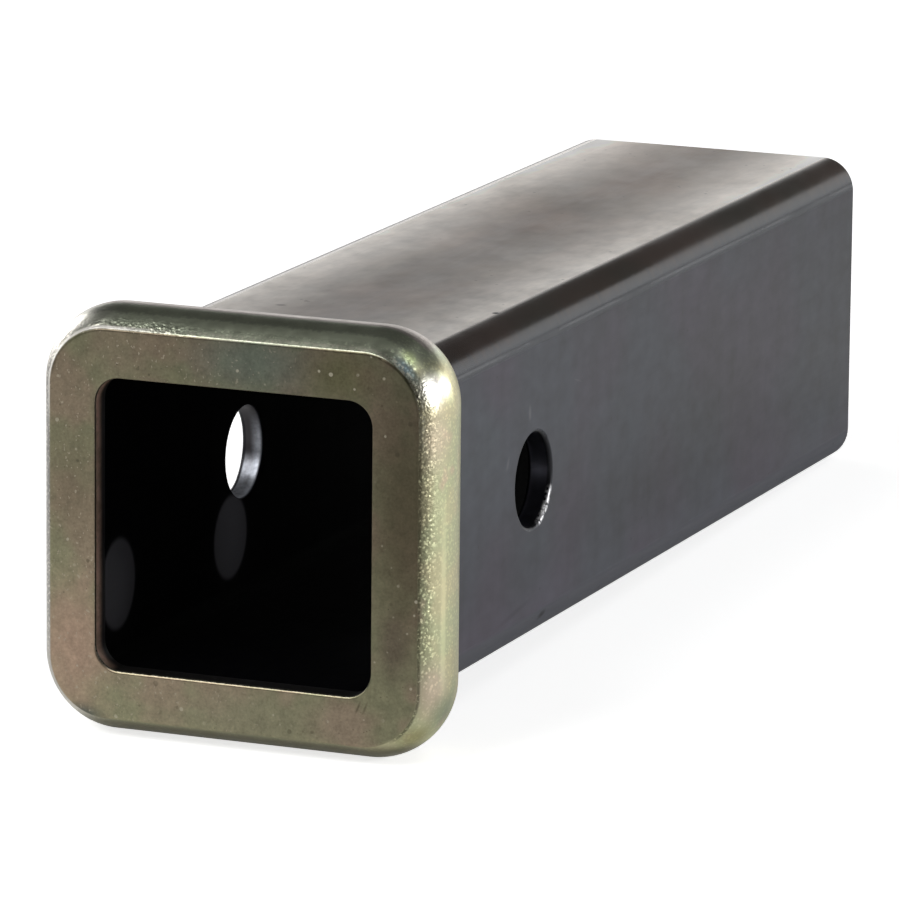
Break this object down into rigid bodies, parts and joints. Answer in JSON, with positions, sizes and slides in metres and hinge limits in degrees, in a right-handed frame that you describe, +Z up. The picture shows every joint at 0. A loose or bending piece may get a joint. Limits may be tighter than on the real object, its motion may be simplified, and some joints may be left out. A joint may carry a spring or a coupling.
{
  "type": "hitch receiver tube",
  "caption": "Square steel receiver tube with a forged reinforcing collar around its mouth and a cross hole for a hitch pin.",
  "frame": {"origin": "on the pin hole's axis, midway between the tube's two side walls", "axes": "+X along the pin hole; +Y along the tube, from the collar's mouth to the open rear end; +Z up"},
  "size_m": [0.0752, 0.2328, 0.0752],
  "materials": {
    "raw_steel": "raw mill finish steel, dull blue-grey with faint rolling marks along the tube",
    "yellow_zinc": "yellow zinc plating over a forged and blasted surface, olive gold with green and pink tints"
  },
  "bodies": {
    "root": {"receiver_tube": "raw_steel", "collar": "yellow_zinc"}
  },
  "joints": []
}
